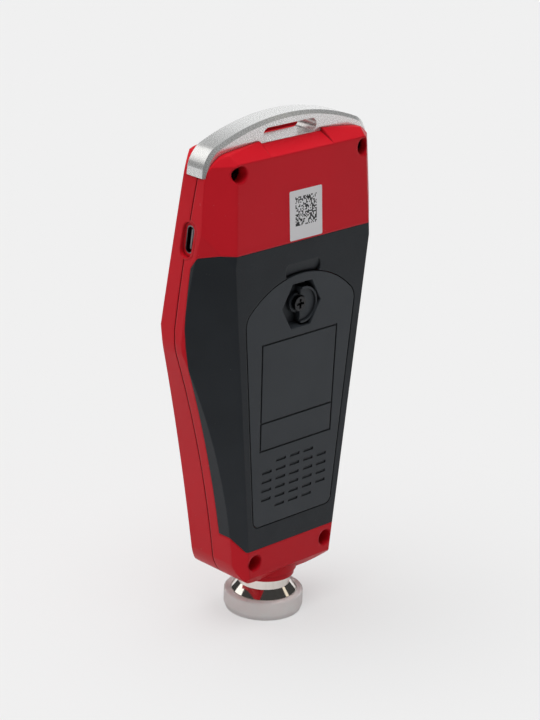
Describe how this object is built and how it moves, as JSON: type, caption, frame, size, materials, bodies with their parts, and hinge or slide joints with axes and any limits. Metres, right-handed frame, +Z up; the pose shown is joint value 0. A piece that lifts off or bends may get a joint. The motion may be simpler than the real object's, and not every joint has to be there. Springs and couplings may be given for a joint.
{
  "type": "coating thickness gauge",
  "caption": "Hand-held coating thickness gauge with a sprung chrome probe, press keys, display, battery door, lanyard bar and pull-off probe cap, standing upright.",
  "frame": {"origin": "on the probe axis at the underside of the probe cap", "axes": "+Z up along the probe axis, -Y towards the display side, +X towards the socket side"},
  "size_m": [0.0752, 0.0295, 0.1675],
  "materials": {
    "red_shell": "moulded red plastic, satin",
    "soft_grip": "soft dark grey overmould",
    "satin_bar": "satin anodised",
    "dark_door": "fine moulded texture",
    "black_screw": "black oxide",
    "insert_brass": "turned",
    "cell_wrap": "plain printed sleeve",
    "contact_metal": "nickel plated",
    "white_label": "matt sticker",
    "clear_window": "clear acrylic",
    "lcd_glass": "grey green display glass",
    "lcd_holder": "white diffuser",
    "board": "green solder mask",
    "socket_metal": "plated shell",
    "black_part": "black moulding",
    "key_grey": "soft grey key",
    "key_red": "soft red key",
    "stem_steel": "turned",
    "coil_copper": "enamelled winding",
    "tip_hard": "polished hard tip",
    "chrome_sleeve": "mirror chrome",
    "frosted_cap": "frosted translucent plastic"
  },
  "bodies": {
    "housing": {"front_housing": "red_shell", "rear_housing": "red_shell", "grip_overmold": "soft_grip", "lanyard_bar": "satin_bar", "battery_door": "dark_door", "door_screw": "black_screw", "door_insert": "insert_brass", "case_screws": "black_screw", "battery_left": "cell_wrap", "battery_right": "cell_wrap", "spring_contacts": "contact_metal", "plate_contacts": "contact_metal", "label_sticker": "white_label", "display_window": "clear_window", "lcd_panel": "lcd_glass", "lcd_frame": "lcd_holder", "main_board": "board", "usb_socket": "socket_metal", "buzzer": "black_part", "key_board": "board", "key_switches": "black_part", "probe_collar": "red_shell", "probe_stem": "stem_steel", "probe_coil": "coil_copper", "probe_tip": "tip_hard", "probe_spring": "contact_metal"},
    "probe_foot": {"probe_sleeve": "chrome_sleeve"},
    "cap": {"probe_cap": "frosted_cap"},
    "menu_key_cap": {"menu_key": "key_grey"},
    "up_key_cap": {"up_key": "key_grey"},
    "down_key_cap": {"down_key": "key_grey"},
    "power_key_cap": {"power_key": "key_red"}
  },
  "joints": [
    {"name": "sleeve_slide", "type": "slide", "parent": "housing", "child": "probe_foot", "axis": [0, 0, 1], "range_m": [0, 0.0032], "stiffness_N_per_m": 1200, "springref_m": -0.005, "deforming": ["probe_spring"]},
    {"name": "cap_pull", "type": "slide", "parent": "probe_foot", "child": "cap", "axis": [0, 0, -1], "range_m": [0, 0.012]},
    {"name": "menu_key_press", "type": "slide", "parent": "housing", "child": "menu_key_cap", "axis": [0, 1, 0], "range_m": [0, 0.0006], "stiffness_N_per_m": 1500, "springref_m": -0.0006},
    {"name": "up_key_press", "type": "slide", "parent": "housing", "child": "up_key_cap", "axis": [0, 1, 0], "range_m": [0, 0.0006], "stiffness_N_per_m": 1500, "springref_m": -0.0006},
    {"name": "down_key_press", "type": "slide", "parent": "housing", "child": "down_key_cap", "axis": [0, 1, 0], "range_m": [0, 0.0006], "stiffness_N_per_m": 1500, "springref_m": -0.0006},
    {"name": "power_key_press", "type": "slide", "parent": "housing", "child": "power_key_cap", "axis": [0, 1, 0], "range_m": [0, 0.0006], "stiffness_N_per_m": 1500, "springref_m": -0.0006}
  ]
}
